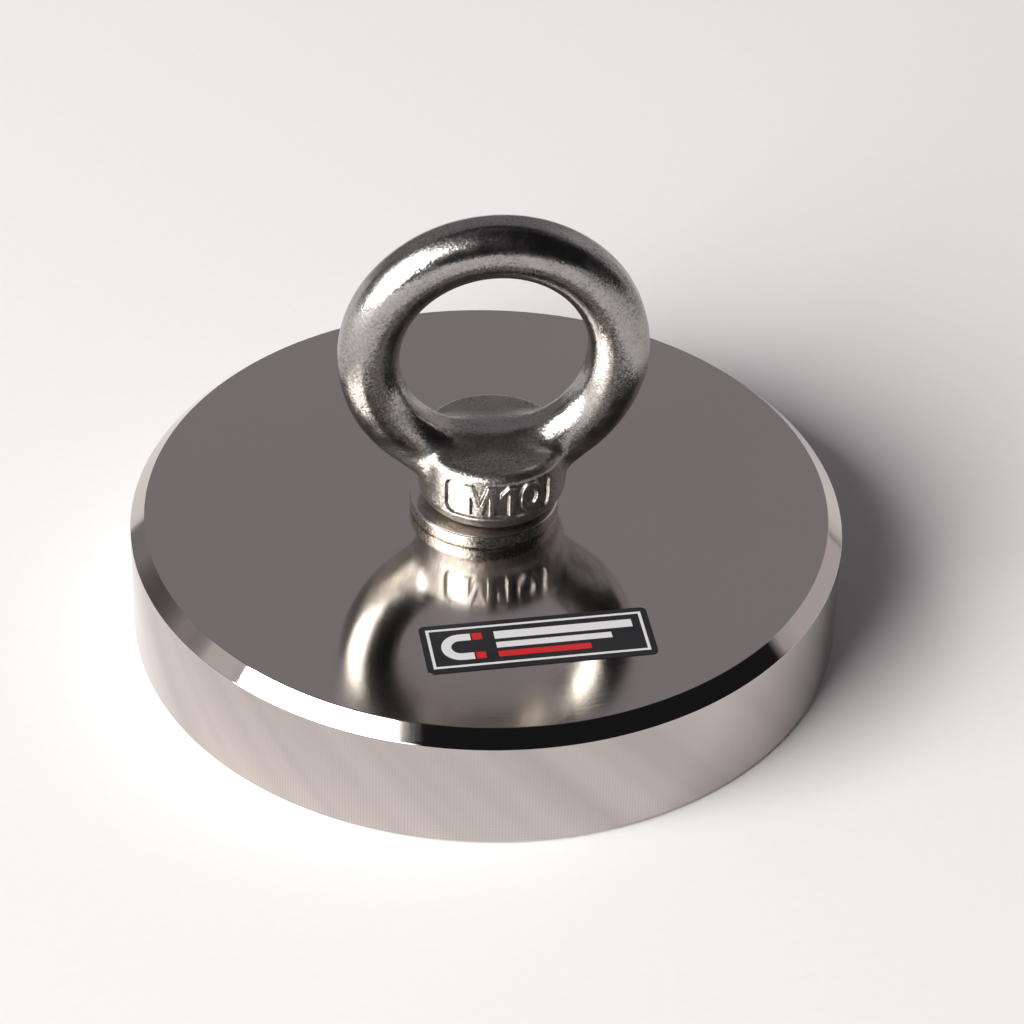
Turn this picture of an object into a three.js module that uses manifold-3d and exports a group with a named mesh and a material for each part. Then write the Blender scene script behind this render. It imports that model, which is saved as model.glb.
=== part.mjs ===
// Magnet fishing magnet: a turned steel cup with a ring magnet potted into its open underside
// and a forged lifting eye screwed down its middle onto a flat washer.
// Millimetres. The origin is the centre of the magnet face and +Z points up through the eye.

import * as THREE from "three";
import { mergeVertices } from "three/addons/utils/BufferGeometryUtils.js";
import Module from "manifold-3d";

const wasm = await Module();
wasm.setup();

// the turned steel cup
const CUP_RADIUS = 48;
const CUP_HEIGHT = 18;
const TOP_CHAMFER = 2;
const FACE_BEVEL = 0.5;
const CAVITY_OUTER = 43;
const CAVITY_DEPTH = 10.2;
const POLE_RADIUS = 15;
const COUNTERSINK = 0.6;

// the ring magnet and what holds it in
const MAGNET_INNER = 17;
const MAGNET_OUTER = 41;
const MAGNET_RECESS = 0.3;
const MAGNET_BEVEL = 0.4;
const BOND_THICKNESS = 0.2;
const POTTING_RECESS = 0.15;

// the metric thread, M10 x 1.5 right-hand, with its running clearance taken off the bolt
const THREAD_PITCH = 1.5;
const THREAD_OUTER = 5;
const THREAD_INNER = 4.19;
const THREAD_CLEARANCE = 0.2;
const CREST_FLAT = THREAD_PITCH / 8;
const SHANK_LENGTH = 16.1;
const SHANK_POINT = 1.1;
const RELIEF_LENGTH = 1.5;
const THREAD_RUNOUT = 0.8;

// the flat washer under the eye, which sits a little to one side of the thread
const WASHER_RADIUS = 10;
const WASHER_THICKNESS = 2;
const WASHER_HOLE = 5.25;
const WASHER_LOWER_EDGE = 0.35;
const WASHER_UPPER_EDGE = 0.3;
const WASHER_SHIFT = -0.4;

// the forged eye, whose ring and neck stand a little to the other side of the thread
const FORGING_SHIFT = 0.5;
const NECK_RADIUS = 10;
const NECK_HEIGHT = 9.6;
const NECK_CROWN = 0.7;
const NECK_RIM = 1.4;
const FOOT_INWARD = 3.6;
const FOOT_HEIGHT = 3.15;
const EYE_RADIUS = 16.5;
const EYE_CENTRE = 23.1;
const WIRE_ACROSS = 8;
const WIRE_THICK = 7.9;
const TRIM_BAND = 2.2;
const FLARE = 0.1;
const FLARE_FROM = THREE.MathUtils.degToRad(40);
const FLARE_TO = THREE.MathUtils.degToRad(26);

// the recessed panel on the neck and the raised thread size standing in it
const PANEL_HALF_ANGLE = THREE.MathUtils.degToRad(44);
const PANEL_BOTTOM = 3;
const PANEL_HEIGHT = 5.4;
const PANEL_DEPTH = 0.5;
const MARK_WIDTHS = { M: 4.4, one: 2, zero: 3.15 };
const MARK_HEIGHT = 4.7;
const MARK_STROKE = 1;
const MARK_GAP = 0.75;
const MARK_RELIEF = 0.45;
const MARK_SHIFT = THREE.MathUtils.degToRad(3.5);
const MARK_BURIED = 0.4;
const M_VEE = { foot: 0.1, halfFoot: 0.4, notch: 1.7, shoulder: 1.8, lean: 0.2 };
const ONE_FLAG = { upper: 1.1, lower: 1.9, root: 1.2 };

// the sticker on top of the cup
const LABEL_LENGTH = 30;
const LABEL_WIDTH = 9.5;
const LABEL_CORNER = 0.8;
const LABEL_THICKNESS = 0.12;
const LABEL_PLACE = new THREE.Vector2(3.4, -29.3);
const LABEL_ANGLE = THREE.MathUtils.degToRad(3);

// how finely the round parts are cut
const CUP_STEPS = 72;
const NECK_STEPS = 48;
const EYE_STEPS = 44;
const WIRE_STEPS = 6;
const THREAD_STEPS = 20;
const ROUND_STEPS = 5;
const PANEL_STEPS = 12;
const FIGURE_STEPS = 10;
const CORNER_STEPS = 5;

// how near two corners are to count as one, and how far a cutting shape runs past what it cuts
const WELD_DISTANCE = 1e-5;
const OVERCUT = 1;

const SEAT = CUP_HEIGHT + WASHER_THICKNESS;
const SHANK_TIP = SEAT - SHANK_LENGTH;

// ---- turning geometry into closed solids ----

// Welds shared corners and drops triangles that have no area.
function welded(geometry) {
  const bare = geometry.clone();
  bare.deleteAttribute("normal");
  bare.deleteAttribute("uv");
  const merged = mergeVertices(bare, WELD_DISTANCE);
  const index = [...merged.index.array];
  const kept = [];
  for (let i = 0; i < index.length; i += 3) {
    const [a, b, c] = index.slice(i, i + 3);
    if (a !== b && b !== c && c !== a) kept.push(a, b, c);
  }
  merged.setIndex(kept);
  return merged;
}

function signedVolume(geometry) {
  const p = geometry.attributes.position;
  const index = geometry.index.array;
  const [a, b, c] = [new THREE.Vector3(), new THREE.Vector3(), new THREE.Vector3()];
  let sum = 0;
  for (let i = 0; i < index.length; i += 3) {
    a.fromBufferAttribute(p, index[i]);
    b.fromBufferAttribute(p, index[i + 1]);
    c.fromBufferAttribute(p, index[i + 2]);
    sum += a.dot(b.cross(c)) / 6;
  }
  return sum;
}

// A closed shell with its faces outwards, ready to be joined to or cut from another.
function solid(geometry) {
  const shell = welded(geometry);
  const triVerts = new Uint32Array(shell.index.array);
  if (signedVolume(shell) < 0) triVerts.reverse();
  const vertProperties = new Float32Array(shell.attributes.position.array);
  return new wasm.Manifold(new wasm.Mesh({ numProp: 3, vertProperties, triVerts }));
}

function geometryOf(manifold) {
  const { vertProperties, triVerts } = manifold.getMesh();
  const geometry = new THREE.BufferGeometry();
  geometry.setAttribute("position", new THREE.Float32BufferAttribute(vertProperties, 3));
  geometry.setIndex([...triVerts]);
  const flat = geometry.toNonIndexed();
  flat.computeVertexNormals();
  return flat;
}

// Spins [radius, height] corners about the Z axis.
function turned(corners, steps) {
  const profile = corners.map(([radius, height]) => new THREE.Vector2(radius, height));
  return new THREE.LatheGeometry(profile, steps).rotateX(Math.PI / 2);
}

// ---- the thread ----

// The axial positions and radii of one turn's four edges, from the foot of one flank to the next.
function threadEdges(inner, outer) {
  const flank = (outer - inner) * Math.tan(Math.PI / 6);
  return [
    [inner, 0],
    [outer, flank],
    [outer, flank + CREST_FLAT],
    [inner, 2 * flank + CREST_FLAT],
  ];
}

// A right-hand screw standing on the Z axis that covers the heights asked for with a turn to spare.
function screw(inner, outer, low, high) {
  const edges = threadEdges(inner, outer);
  const rise = THREAD_PITCH / THREAD_STEPS;
  const start = low - 2 * THREAD_PITCH;
  const last = Math.ceil((high + THREAD_PITCH - start) / rise);
  const phase = (2 * Math.PI * start) / THREAD_PITCH;
  const points = [];
  for (let i = 0; i <= last; i++) {
    const turn = phase + (2 * Math.PI * i) / THREAD_STEPS;
    for (const [radius, height] of edges) {
      points.push(radius * Math.cos(turn), radius * Math.sin(turn), start + i * rise + height);
    }
  }
  const at = (i, k) => (k < edges.length ? i * edges.length + k : at(i + THREAD_STEPS, 0));
  const faces = [];
  for (let k = 0; k < edges.length; k++) {
    const rows = k < edges.length - 1 ? last : last - THREAD_STEPS;
    for (let i = 0; i < rows; i++) {
      faces.push(at(i, k), at(i + 1, k), at(i + 1, k + 1));
      faces.push(at(i, k), at(i + 1, k + 1), at(i, k + 1));
    }
  }
  const top = edges.length - 1;
  const steps = [...Array(THREAD_STEPS + 1).keys()];
  const lowerRim = [...steps.map((i) => at(i, 0)), at(0, 3), at(0, 2), at(0, 1)];
  const upperRim = [at(last, 0), at(last, 1), at(last, 2), ...steps.map((i) => at(last - i, top))];
  for (const [rim, height] of [[lowerRim, start - THREAD_PITCH], [upperRim, high + 4 * THREAD_PITCH]]) {
    const hub = points.length / 3;
    points.push(0, 0, height);
    rim.forEach((a, n) => faces.push(rim[(n + 1) % rim.length], a, hub));
  }
  const geometry = new THREE.BufferGeometry();
  geometry.setAttribute("position", new THREE.Float32BufferAttribute(points, 3));
  geometry.setIndex(faces);
  return solid(geometry);
}

// ---- the cup and what is inside it ----

function potHousing() {
  const blank = solid(turned([
    [0, 0],
    [POLE_RADIUS, 0],
    [POLE_RADIUS, CAVITY_DEPTH],
    [CAVITY_OUTER, CAVITY_DEPTH],
    [CAVITY_OUTER, 0],
    [CUP_RADIUS - FACE_BEVEL, 0],
    [CUP_RADIUS, FACE_BEVEL],
    [CUP_RADIUS, CUP_HEIGHT - TOP_CHAMFER],
    [CUP_RADIUS - TOP_CHAMFER, CUP_HEIGHT],
    [0, CUP_HEIGHT],
  ], CUP_STEPS));
  const mouth = THREAD_OUTER + COUNTERSINK;
  const depth = mouth - THREAD_INNER;
  // inwards is 1 for a face that looks down and -1 for one that looks up
  const sink = (face, inwards) => solid(turned([
    [0, face - inwards * OVERCUT],
    [mouth + OVERCUT, face - inwards * OVERCUT],
    [THREAD_INNER - OVERCUT, face + inwards * (depth + OVERCUT)],
    [0, face + inwards * (depth + OVERCUT)],
  ], NECK_STEPS));
  const tap = screw(THREAD_INNER, THREAD_OUTER, 0, CUP_HEIGHT);
  return geometryOf(blank.subtract(tap).subtract(sink(0, 1)).subtract(sink(CUP_HEIGHT, -1)));
}

// A ring of rectangular section, with its four edges bevelled if asked.
function flatRing(inner, outer, low, high, bevel = 0) {
  const corners = bevel
    ? [
        [inner, low + bevel], [inner + bevel, low], [outer - bevel, low], [outer, low + bevel],
        [outer, high - bevel], [outer - bevel, high], [inner + bevel, high],
        [inner, high - bevel], [inner, low + bevel],
      ]
    : [[inner, low], [outer, low], [outer, high], [inner, high], [inner, low]];
  return geometryOf(solid(turned(corners, CUP_STEPS)));
}

const magnetTop = CAVITY_DEPTH - BOND_THICKNESS;
const ringMagnet = () =>
  flatRing(MAGNET_INNER, MAGNET_OUTER, MAGNET_RECESS, magnetTop, MAGNET_BEVEL);
const bondLayer = () => flatRing(MAGNET_INNER, MAGNET_OUTER, magnetTop, CAVITY_DEPTH);
const outerPotting = () =>
  flatRing(MAGNET_OUTER, CAVITY_OUTER, POTTING_RECESS, CAVITY_DEPTH);
const innerPotting = () => flatRing(POLE_RADIUS, MAGNET_INNER, POTTING_RECESS, CAVITY_DEPTH);

// ---- the lifting eye ----

// The ring's section: round, with a flat trimmed band round the inside and one round the outside.
function wireSection() {
  const halfBand = TRIM_BAND / 2;
  const halfThick = WIRE_THICK / 2;
  const first = Math.asin(halfBand / halfThick);
  const stretch = WIRE_ACROSS / 2 / Math.cos(first);
  const points = [];
  for (const side of [0, Math.PI]) {
    for (let n = 0; n <= WIRE_STEPS; n++) {
      const angle = side + first + ((Math.PI - 2 * first) * n) / WIRE_STEPS;
      points.push([stretch * Math.cos(angle), halfThick * Math.sin(angle)]);
    }
  }
  return [...points, points[0]];
}

// The ring stands in the XZ plane. It thickens outwards where it runs down into the neck.
function eyeRing() {
  const profile = wireSection().map(([out, along]) => new THREE.Vector2(EYE_RADIUS + out, along));
  const ring = new THREE.LatheGeometry(profile, EYE_STEPS);
  const p = ring.attributes.position;
  for (let i = 0; i < p.count; i++) {
    const [x, y, z] = [p.getX(i), p.getY(i), p.getZ(i)];
    const fromBottom = Math.abs(Math.atan2(x, -z));
    const swell = FLARE * (1 - THREE.MathUtils.smoothstep(fromBottom, FLARE_TO, FLARE_FROM));
    const radius = Math.hypot(x, z);
    const grown = radius + Math.max(0, radius - EYE_RADIUS) * swell;
    p.setXYZ(i, (x * grown) / radius, y * (1 + swell), (z * grown) / radius);
  }
  return solid(ring).translate([FORGING_SHIFT, 0, SEAT + EYE_CENTRE]);
}

// How high the neck's domed top stands at a distance from its axis.
const crownAt = (radius) => NECK_HEIGHT + NECK_CROWN * (1 - (radius / NECK_RADIUS) ** 2);

// A short drum with a well rounded foot, a rounded upper edge and a slightly domed top.
function neck() {
  const inner = NECK_RADIUS - NECK_RIM;
  const foot = [];
  const rim = [];
  for (let n = 0; n <= ROUND_STEPS; n++) {
    const angle = ((Math.PI / 2) * n) / ROUND_STEPS;
    const [across, along] = [1 - Math.sin(angle), 1 - Math.cos(angle)];
    foot.push([NECK_RADIUS - FOOT_INWARD * across, FOOT_HEIGHT * along]);
    rim.unshift([NECK_RADIUS - NECK_RIM * across, crownAt(inner) - NECK_RIM * along]);
  }
  const crown = [[inner / 2, crownAt(inner / 2)], [0, crownAt(0)]];
  return solid(turned([[0, 0], ...foot, ...rim, ...crown], NECK_STEPS))
    .translate([FORGING_SHIFT, 0, SEAT]);
}

// The part of the neck's skin that is sunk to take the mark, on the side that faces -Y.
function panelCutter() {
  const floor = NECK_RADIUS - PANEL_DEPTH;
  const from = -Math.PI / 2 - PANEL_HALF_ANGLE;
  const to = -Math.PI / 2 + PANEL_HALF_ANGLE;
  const sector = new THREE.Shape();
  sector.absarc(0, 0, NECK_RADIUS + OVERCUT, from, to, false);
  sector.absarc(0, 0, floor, to, from, true);
  const cut = new THREE.ExtrudeGeometry(sector, {
    depth: PANEL_HEIGHT, bevelEnabled: false, curveSegments: PANEL_STEPS,
  });
  return solid(cut).translate([FORGING_SHIFT, 0, SEAT + PANEL_BOTTOM]);
}

function letterM() {
  const [w, h, s] = [MARK_WIDTHS.M, MARK_HEIGHT, MARK_STROKE];
  const { foot, halfFoot, notch, shoulder, lean } = M_VEE;
  return new THREE.Shape([
    [0, 0], [s, 0], [s, h - shoulder], [w / 2 - halfFoot, foot],
    [w / 2 + halfFoot, foot], [w - s, h - shoulder], [w - s, 0], [w, 0],
    [w, h], [w - s - lean, h], [w / 2, notch], [s + lean, h], [0, h],
  ].map(([x, y]) => new THREE.Vector2(x, y)));
}

function figureOne() {
  const [w, h, s] = [MARK_WIDTHS.one, MARK_HEIGHT, MARK_STROKE];
  const { upper, lower, root } = ONE_FLAG;
  return new THREE.Shape([
    [w - s, 0], [w, 0], [w, h], [w - s, h], [0, h - upper], [0, h - lower], [w - s, h - root],
  ].map(([x, y]) => new THREE.Vector2(x, y)));
}

function figureZero() {
  const [rx, ry] = [MARK_WIDTHS.zero / 2, MARK_HEIGHT / 2];
  const shape = new THREE.Shape();
  shape.absellipse(rx, ry, rx, ry, 0, 2 * Math.PI, false);
  const counter = new THREE.Path();
  counter.absellipse(rx, ry, rx - MARK_STROKE, ry - MARK_STROKE, 0, 2 * Math.PI, true);
  shape.holes.push(counter);
  return shape;
}

// A flat figure wrapped round the neck, standing out of the panel's floor.
function raisedFigure(shape, arcLengthFromMiddle) {
  const root = NECK_RADIUS - PANEL_DEPTH - MARK_BURIED;
  const plate = new THREE.ExtrudeGeometry(shape, {
    depth: MARK_RELIEF + MARK_BURIED, bevelEnabled: false, curveSegments: FIGURE_STEPS,
  });
  const p = plate.attributes.position;
  for (let i = 0; i < p.count; i++) {
    const angle = -Math.PI / 2 + MARK_SHIFT + (p.getX(i) + arcLengthFromMiddle) / NECK_RADIUS;
    const radius = root + p.getZ(i);
    p.setXYZ(i, radius * Math.cos(angle), radius * Math.sin(angle), p.getY(i));
  }
  const foot = PANEL_BOTTOM + (PANEL_HEIGHT - MARK_HEIGHT) / 2;
  return solid(plate).translate([FORGING_SHIFT, 0, SEAT + foot]);
}

function threadedShank() {
  const inner = THREAD_INNER - THREAD_CLEARANCE;
  const outer = THREAD_OUTER - THREAD_CLEARANCE;
  const relief = SEAT - RELIEF_LENGTH;
  const envelope = solid(turned([
    [0, SHANK_TIP],
    [outer - SHANK_POINT, SHANK_TIP],
    [outer + OVERCUT, SHANK_TIP + SHANK_POINT + OVERCUT],
    [outer + OVERCUT, relief - THREAD_RUNOUT - OVERCUT],
    [inner, relief],
    [inner, SEAT + OVERCUT],
    [0, SEAT + OVERCUT],
  ], NECK_STEPS));
  return screw(inner, outer, SHANK_TIP, SEAT).intersect(envelope);
}

function eyebolt() {
  const { M, one, zero } = MARK_WIDTHS;
  const starts = [0, M + MARK_GAP, M + one + 2 * MARK_GAP];
  const wide = M + one + zero + 2 * MARK_GAP;
  const figures = [letterM(), figureOne(), figureZero()];
  const forging = neck().subtract(panelCutter()).add(eyeRing()).add(threadedShank());
  return geometryOf(figures.reduce(
    (body, figure, n) => body.add(raisedFigure(figure, starts[n] - wide / 2)), forging));
}

// ---- the washer and the sticker ----

function flatWasher() {
  const [low, high] = [CUP_HEIGHT, SEAT];
  const disc = solid(turned([
    [0, low],
    [WASHER_RADIUS - WASHER_LOWER_EDGE, low],
    [WASHER_RADIUS, low + WASHER_LOWER_EDGE],
    [WASHER_RADIUS, high - WASHER_UPPER_EDGE],
    [WASHER_RADIUS - WASHER_UPPER_EDGE, high],
    [0, high],
  ], NECK_STEPS));
  const punch = solid(turned([
    [0, low - OVERCUT],
    [WASHER_HOLE, low - OVERCUT],
    [WASHER_HOLE, high + OVERCUT],
    [0, high + OVERCUT],
  ], NECK_STEPS));
  return geometryOf(disc.subtract(punch).translate([WASHER_SHIFT, 0, 0]));
}

function label() {
  const [x, y, r] = [LABEL_LENGTH / 2, LABEL_WIDTH / 2, LABEL_CORNER];
  const outline = new THREE.Shape();
  outline.absarc(x - r, y - r, r, 0, Math.PI / 2, false);
  outline.absarc(r - x, y - r, r, Math.PI / 2, Math.PI, false);
  outline.absarc(r - x, r - y, r, Math.PI, 1.5 * Math.PI, false);
  outline.absarc(x - r, r - y, r, 1.5 * Math.PI, 2 * Math.PI, false);
  const film = new THREE.ExtrudeGeometry(outline, {
    depth: LABEL_THICKNESS, bevelEnabled: false, curveSegments: CORNER_STEPS,
  });
  film.rotateZ(LABEL_ANGLE).translate(LABEL_PLACE.x, LABEL_PLACE.y, CUP_HEIGHT);
  return geometryOf(solid(film));
}

// ---- the whole magnet ----

const PIECES = [
  ["pot_housing", potHousing, { color: 0x8d8686, roughness: 0.12, metalness: 1 }],
  ["ring_magnet", ringMagnet, { color: 0x9b9a98, roughness: 0.25, metalness: 1 }],
  ["magnet_bond_layer", bondLayer, { color: 0x8f8262, roughness: 0.5, metalness: 0 }],
  ["outer_potting_ring", outerPotting, { color: 0x1c1c1e, roughness: 0.35, metalness: 0 }],
  ["inner_potting_ring", innerPotting, { color: 0x202022, roughness: 0.35, metalness: 0 }],
  ["flat_washer", flatWasher, { color: 0xb8b0a4, roughness: 0.15, metalness: 1 }],
  ["eyebolt", eyebolt, { color: 0xc4c0bb, roughness: 0.28, metalness: 1 }],
  ["label", label, { color: 0x161618, roughness: 0.45, metalness: 0 }],
];

const magnet = new THREE.Group();
magnet.name = "magnet_fishing_magnet";
for (const [name, build, look] of PIECES) {
  const mesh = new THREE.Mesh(build(), new THREE.MeshStandardMaterial(look));
  mesh.name = name;
  magnet.add(mesh);
}

export default magnet;
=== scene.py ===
import math

import bmesh
import bpy
import numpy as np
from mathutils import Matrix, Vector


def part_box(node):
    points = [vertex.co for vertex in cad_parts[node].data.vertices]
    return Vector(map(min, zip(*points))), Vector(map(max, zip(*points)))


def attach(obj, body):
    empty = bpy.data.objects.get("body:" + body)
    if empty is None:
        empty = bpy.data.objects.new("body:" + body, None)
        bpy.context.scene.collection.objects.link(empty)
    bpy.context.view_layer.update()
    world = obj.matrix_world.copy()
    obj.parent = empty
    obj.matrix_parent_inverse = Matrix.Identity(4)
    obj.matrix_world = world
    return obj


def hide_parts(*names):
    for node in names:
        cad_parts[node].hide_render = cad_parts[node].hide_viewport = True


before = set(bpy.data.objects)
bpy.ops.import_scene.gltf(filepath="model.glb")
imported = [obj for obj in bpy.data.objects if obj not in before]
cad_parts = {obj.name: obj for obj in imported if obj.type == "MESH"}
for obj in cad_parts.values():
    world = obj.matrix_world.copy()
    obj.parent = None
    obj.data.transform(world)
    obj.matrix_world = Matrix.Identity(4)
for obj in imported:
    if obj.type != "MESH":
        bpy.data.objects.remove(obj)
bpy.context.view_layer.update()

MM = 0.001
scene = bpy.context.scene


def mm(box):
    return [Vector(corner) / MM for corner in box]


# ---- sizes in millimetres, read from the CAD frame where it holds them ----
CUP_HIGH = mm(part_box("pot_housing"))[1]
CUP_R, CUP_TOP = CUP_HIGH.x, CUP_HIGH.z
MAGNET_LOW, MAGNET_HIGH = mm(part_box("ring_magnet"))
MAGNET_OUT = MAGNET_HIGH.x
POTTING_LOW, POTTING_HIGH = mm(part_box("outer_potting_ring"))
CAVITY_OUT, CAVITY_TOP = POTTING_HIGH.x, POTTING_HIGH.z
MAGNET_IN = mm(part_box("inner_potting_ring"))[1].x
POTTING_GAP = 2.0
POLE_R = MAGNET_IN - POTTING_GAP
WASHER_LOW, WASHER_HIGH = mm(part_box("flat_washer"))
WASHER_X = (WASHER_LOW.x + WASHER_HIGH.x) / 2
WASHER_R = (WASHER_HIGH.x - WASHER_LOW.x) / 2
SEAT = WASHER_HIGH.z
EYE_LOW, EYE_HIGH = mm(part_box("eyebolt"))
EYE_X = (EYE_LOW.x + EYE_HIGH.x) / 2
EYE_OUT = (EYE_HIGH.x - EYE_LOW.x) / 2
WIRE = 8.0
EYE_R = EYE_OUT - WIRE / 2
EYE_Z = EYE_HIGH.z - EYE_OUT
SHANK_TIP = EYE_LOW.z
LABEL_LOW, LABEL_HIGH = mm(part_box("label"))


# ---- mesh helpers ----
def add_mesh(name, vertices, faces, smooth=True):
    mesh = bpy.data.meshes.new(name)
    mesh.from_pydata([tuple(v) for v in vertices], [], [tuple(f) for f in faces])
    mesh.validate()
    mesh.update()
    if smooth:
        mesh.polygons.foreach_set("use_smooth", [True] * len(mesh.polygons))
    obj = bpy.data.objects.new(name, mesh)
    scene.collection.objects.link(obj)
    return obj


def outwards(obj):
    bm = bmesh.new()
    bm.from_mesh(obj.data)
    bmesh.ops.recalc_face_normals(bm, faces=bm.faces)
    bm.to_mesh(obj.data)
    bm.free()
    return obj


GUARD = 0.06


def rounded(profile, closed):
    """A profile whose corners marked with a radius become arcs. Each corner is (r, z, radius)."""
    points = []
    n = len(profile)
    for i, (r, z, radius) in enumerate(profile):
        here = np.array([r, z])
        if radius <= 0 or (not closed and i in (0, n - 1)):
            points.append(here)
            continue
        before = np.array(profile[i - 1][:2])
        after = np.array(profile[(i + 1) % n][:2])
        a = (before - here) / np.linalg.norm(before - here)
        b = (after - here) / np.linalg.norm(after - here)
        half = math.acos(np.clip(a @ b, -1, 1)) / 2
        back = radius / math.tan(half)
        centre = here + (a + b) / np.linalg.norm(a + b) * radius / math.sin(half)
        start, end = here + a * back - centre, here + b * back - centre
        turn = math.atan2(start[0] * end[1] - start[1] * end[0], start @ end)
        steps = max(2, int(abs(turn) / math.radians(18)))
        # a point just past each end of the arc keeps the shading of the flats beside it flat
        points.append(here + a * (back + GUARD))
        for s in range(steps + 1):
            t = turn * s / steps
            c, sn = math.cos(t), math.sin(t)
            points.append(centre + [start[0] * c - start[1] * sn, start[0] * sn + start[1] * c])
        points.append(here + b * (back + GUARD))
    return points


def lathe(name, profile, steps, closed=False, centre=(0, 0), flat_angle=35):
    """Spins a profile of (r, z, corner radius) about the Z axis."""
    points = rounded(profile, closed)
    vertices, rows = [], []
    for r, z in points:
        if r < 1e-6:
            rows.append([len(vertices)] * steps)
            vertices.append((centre[0] * MM, centre[1] * MM, z * MM))
            continue
        rows.append(list(range(len(vertices), len(vertices) + steps)))
        for i in range(steps):
            t = 2 * math.pi * i / steps
            vertices.append(((centre[0] + r * math.cos(t)) * MM,
                             (centre[1] + r * math.sin(t)) * MM, z * MM))
    faces = []
    pairs = list(zip(rows, rows[1:])) + ([(rows[-1], rows[0])] if closed else [])
    for low, high in pairs:
        for i in range(steps):
            j = (i + 1) % steps
            face = [low[i], low[j], high[j], high[i]]
            face = [v for k, v in enumerate(face) if v != face[k - 1]]
            if len(face) > 2:
                faces.append(face)
    obj = outwards(add_mesh(name, vertices, faces))
    obj.data.set_sharp_from_angle(angle=math.radians(flat_angle))
    return obj


def combine(obj, other, operation):
    """Joins another closed mesh to this one, or cuts it away, and drops the other."""
    m = obj.modifiers.new("combine", "BOOLEAN")
    m.operation = operation
    m.solver = "MANIFOLD"
    m.object = other
    bpy.context.view_layer.update()
    done = bpy.data.meshes.new_from_object(obj.evaluated_get(bpy.context.evaluated_depsgraph_get()))
    obj.modifiers.clear()
    obj.data = done
    bpy.data.objects.remove(other)
    return obj


# ---- the thread ----
PITCH = 1.5
SHANK_ROOT, SHANK_CREST = 4.09, 4.9
TAP_ROOT, TAP_CREST = 4.19, 5.0


def screw(name, inner, outer, low, high, steps=48):
    """A right-hand M10 screw standing on the Z axis, a turn longer than asked at each end."""
    flank = (outer - inner) * math.tan(math.pi / 6)
    crest = PITCH / 8
    edges = [(inner, 0), (outer, flank), (outer, flank + crest), (inner, 2 * flank + crest)]
    start = low - 2 * PITCH
    last = math.ceil((high + PITCH - start) / PITCH * steps)
    vertices = []
    for i in range(last + 1):
        z = start + i * PITCH / steps
        t = 2 * math.pi * z / PITCH
        vertices += [(r * math.cos(t) * MM, r * math.sin(t) * MM, (z + dz) * MM) for r, dz in edges]
    at = lambda i, k: i * 4 + k if k < 4 else (i + steps) * 4
    faces = [
        (at(i, k), at(i + 1, k), at(i + 1, k + 1), at(i, k + 1))
        for k in range(4) for i in range(last if k < 3 else last - steps)
    ]
    low_rim = [at(i, 0) for i in range(steps + 1)] + [at(0, 3), at(0, 2), at(0, 1)]
    high_rim = [at(last, 0), at(last, 1), at(last, 2)] + [at(last - i, 3) for i in range(steps + 1)]
    for rim, z in ((low_rim, start - PITCH), (high_rim, high + 4 * PITCH)):
        hub = len(vertices)
        vertices.append((0, 0, z * MM))
        faces += [(rim[(n + 1) % len(rim)], a, hub) for n, a in enumerate(rim)]
    return outwards(add_mesh(name, vertices, faces))


# ---- the forged eye, as one smooth surface ----
def smooth_min(a, b, k):
    h = np.clip(0.5 + 0.5 * (b - a) / k, 0, 1)
    return b * (1 - h) + a * h - k * h * (1 - h)


def smooth_max(a, b, k):
    return -smooth_min(-a, -b, k)


def ramp(x, low, high):
    t = np.clip((x - low) / (high - low), 0, 1)
    return t * t * (3 - 2 * t)


def polygon_distance(x, y, corners):
    """Signed distance to a polygon's outline, negative inside."""
    best = np.full(x.shape, 1e9)
    inside = np.zeros(x.shape, bool)
    for (ax, ay), (bx, by) in zip(corners, corners[1:] + corners[:1]):
        ex, ey = bx - ax, by - ay
        t = np.clip(((x - ax) * ex + (y - ay) * ey) / (ex * ex + ey * ey), 0, 1)
        best = np.minimum(best, np.hypot(x - ax - t * ex, y - ay - t * ey))
        if ay != by:
            crosses = (ay > y) != (by > y)
            inside ^= crosses & (x < ex * (y - ay) / ey + ax)
    return np.where(inside, -best, best)


MARK_H, STROKE, MARK_GAP = 4.7, 1.0, 0.75
MARK_M, MARK_1, MARK_0 = 4.4, 2.0, 3.15
M_SHAPE = [
    (0, 0), (STROKE, 0), (STROKE, MARK_H - 1.8), (MARK_M / 2 - 0.4, 0.1), (MARK_M / 2 + 0.4, 0.1),
    (MARK_M - STROKE, MARK_H - 1.8), (MARK_M - STROKE, 0), (MARK_M, 0), (MARK_M, MARK_H),
    (MARK_M - STROKE - 0.2, MARK_H), (MARK_M / 2, 1.7), (STROKE + 0.2, MARK_H), (0, MARK_H),
]
ONE_SHAPE = [
    (MARK_1 - STROKE, 0), (MARK_1, 0), (MARK_1, MARK_H), (MARK_1 - STROKE, MARK_H),
    (0, MARK_H - 1.1), (0, MARK_H - 1.9), (MARK_1 - STROKE, MARK_H - 1.2),
]
MARK_SHIFT, MARK_RELIEF = math.radians(3.5), 0.45
PANEL_HALF, PANEL_LOW, PANEL_HIGH, PANEL_DEEP = math.radians(44), 3.0, 8.4, 0.5
PANEL_CORNER = 1.3
NECK_R, NECK_H, NECK_CROWN = 10.0, 9.6, 0.7
RIM_IN, RIM_DOWN = 1.4, 1.3
FOOT_IN, FOOT_UP = 3.6, 3.15
RING_SWELL = 0.1
FILLET, FILLET_LOSS = 2.0, 0.9


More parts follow.
